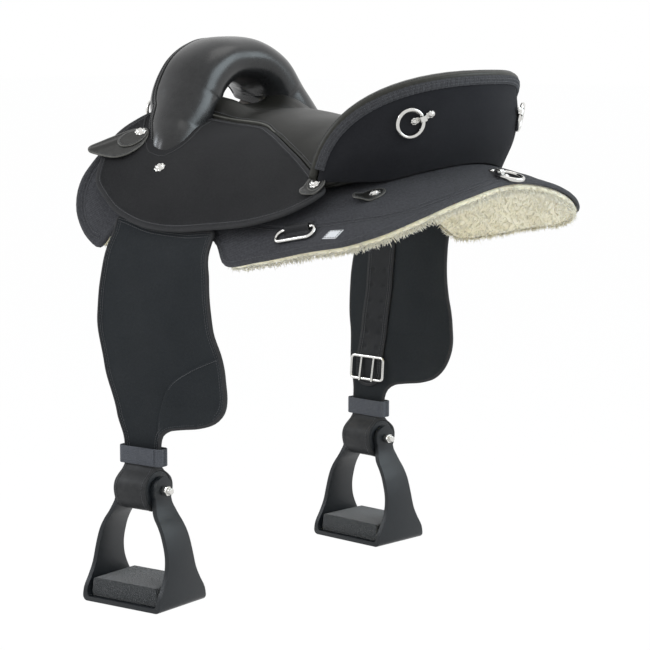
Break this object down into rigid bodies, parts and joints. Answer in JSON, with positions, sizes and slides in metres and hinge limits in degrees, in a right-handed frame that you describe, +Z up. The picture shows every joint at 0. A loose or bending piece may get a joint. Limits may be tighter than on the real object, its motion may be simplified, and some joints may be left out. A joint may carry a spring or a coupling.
{
  "type": "endurance saddle",
  "caption": "Light endurance riding saddle with an arched padded pommel, deep cantle, fleece-lined skirt, hanging fenders and cage-free stirrups.",
  "frame": {"origin": "on the saddle's middle plane, where the horse's spine lies under the seat, 54 mm below the skirt's top line there", "axes": "+Z up, -X towards the pommel, +X towards the cantle, -Y the horse's left side, +Y its right side"},
  "size_m": [0.6014, 0.6334, 0.803],
  "materials": {
    "cordura": "matt woven nylon, charcoal",
    "cordura_fender": "matt woven nylon, slate charcoal",
    "cordura_panel": "matt woven nylon, near black",
    "leather_seat": "smooth warm grey leather, satin",
    "leather_pommel": "smooth blue-black leather, satin",
    "leather_trim": "dark leather, satin",
    "fleece": "cream wool pile",
    "webbing": "dark grey webbing",
    "stirrup_plastic": "dark grey moulded polymer",
    "foam": "black ribbed foam",
    "nickel": "bright nickel plate",
    "tree_polymer": "bare moulded polymer",
    "tag": "white sewn tag, blank"
  },
  "bodies": {
    "saddle": {"cantle_back_panel": "cordura_panel", "cantle_left_clip": "nickel", "cantle_right_clip": "nickel", "cantle_rim": "leather_seat", "crupper_clip": "nickel", "dee_keeper_left": "cordura", "dee_keeper_right": "cordura", "fleece_lining": "fleece", "front_left_clip": "nickel", "front_right_clip": "nickel", "jockey_left": "cordura", "jockey_right": "cordura", "jockey_screw_left": "nickel", "jockey_screw_right": "nickel", "leaf_keeper_left": "leather_trim", "leaf_keeper_right": "leather_trim", "leaf_screw_left": "nickel", "leaf_screw_right": "nickel", "pommel_cover": "leather_pommel", "rosette_left": "leather_trim", "rosette_right": "leather_trim", "rosette_screw_left": "nickel", "rosette_screw_right": "nickel", "seat": "leather_seat", "side_tag": "tag", "skirt": "cordura", "skirt_screw_left": "nickel", "skirt_screw_right": "nickel", "skirt_tab_left": "leather_trim", "skirt_tab_right": "leather_trim", "tree_bar_left": "tree_polymer", "tree_bar_right": "tree_polymer", "tree_cantle": "tree_polymer", "tree_fork": "tree_polymer"},
    "fender_left": {"fender_left": "cordura_fender", "stirrup_leather_left": "leather_trim", "buckle_left": "nickel", "hobble_strap_left": "webbing", "leather_loop_left": "leather_trim", "stirrup_roller_left": "stirrup_plastic"},
    "stirrup_left": {"stirrup_frame_left": "stirrup_plastic", "tread_pad_left": "foam", "stirrup_bolt_left": "nickel"},
    "cantle_left_ring": {"cantle_left_ring": "nickel"},
    "front_left_ring": {"front_left_ring": "nickel"},
    "rigging_dee_left": {"rigging_dee_left": "nickel"},
    "fender_right": {"fender_right": "cordura_fender", "stirrup_leather_right": "leather_trim", "buckle_right": "nickel", "hobble_strap_right": "webbing", "leather_loop_right": "leather_trim", "stirrup_roller_right": "stirrup_plastic"},
    "stirrup_right": {"stirrup_frame_right": "stirrup_plastic", "tread_pad_right": "foam", "stirrup_bolt_right": "nickel"},
    "cantle_right_ring": {"cantle_right_ring": "nickel"},
    "front_right_ring": {"front_right_ring": "nickel"},
    "rigging_dee_right": {"rigging_dee_right": "nickel"},
    "crupper_ring": {"crupper_ring": "nickel"}
  },
  "joints": [
    {"name": "fender_left_swing", "type": "hinge", "parent": "saddle", "child": "fender_left", "pos_m": [-0.1315, -0.1285, 0.04989], "axis": [0, 1, 0], "range_deg": [-2, 6]},
    {"name": "stirrup_left_swing", "type": "hinge", "parent": "fender_left", "child": "stirrup_left", "pos_m": [-0.1375, -0.2595, -0.446], "axis": [0.9972, 0.0748, 0], "range_deg": [-50, 50]},
    {"name": "cantle_left_ring_swing", "type": "hinge", "parent": "saddle", "child": "cantle_left_ring", "pos_m": [0.2499, -0.11442, 0.08633], "axis": [-0.0284, -0.4127, 0.9104], "range_deg": [0, 75]},
    {"name": "front_left_ring_swing", "type": "hinge", "parent": "saddle", "child": "front_left_ring", "pos_m": [-0.2572, -0.10399, 0.099], "axis": [0, 1, -0.0006], "range_deg": [0, 110]},
    {"name": "rigging_dee_left_swing", "type": "hinge", "parent": "saddle", "child": "rigging_dee_left", "pos_m": [0.13537, -0.23958, -0.05926], "axis": [-0.9718, -0.1365, -0.1921], "range_deg": [0, 80]},
    {"name": "fender_right_swing", "type": "hinge", "parent": "saddle", "child": "fender_right", "pos_m": [-0.1315, 0.1285, 0.04989], "axis": [0, 1, 0], "range_deg": [-2, 6]},
    {"name": "stirrup_right_swing", "type": "hinge", "parent": "fender_right", "child": "stirrup_right", "pos_m": [-0.1375, 0.2595, -0.446], "axis": [0.9972, -0.0748, 0], "range_deg": [-50, 50]},
    {"name": "cantle_right_ring_swing", "type": "hinge", "parent": "saddle", "child": "cantle_right_ring", "pos_m": [0.2499, 0.11444, 0.08638], "axis": [0.03, -0.415, -0.9093], "range_deg": [0, 75]},
    {"name": "front_right_ring_swing", "type": "hinge", "parent": "saddle", "child": "front_right_ring", "pos_m": [-0.2572, 0.104, 0.099], "axis": [0, 1, 0], "range_deg": [0, 110]},
    {"name": "rigging_dee_right_swing", "type": "hinge", "parent": "saddle", "child": "rigging_dee_right", "pos_m": [0.13537, 0.23958, -0.05926], "axis": [0.9718, -0.1365, 0.1921], "range_deg": [0, 80]},
    {"name": "crupper_ring_swing", "type": "hinge", "parent": "saddle", "child": "crupper_ring", "pos_m": [0.29488, 0.00005, 0.01042], "axis": [0, -1, 0], "range_deg": [0, 110]}
  ]
}
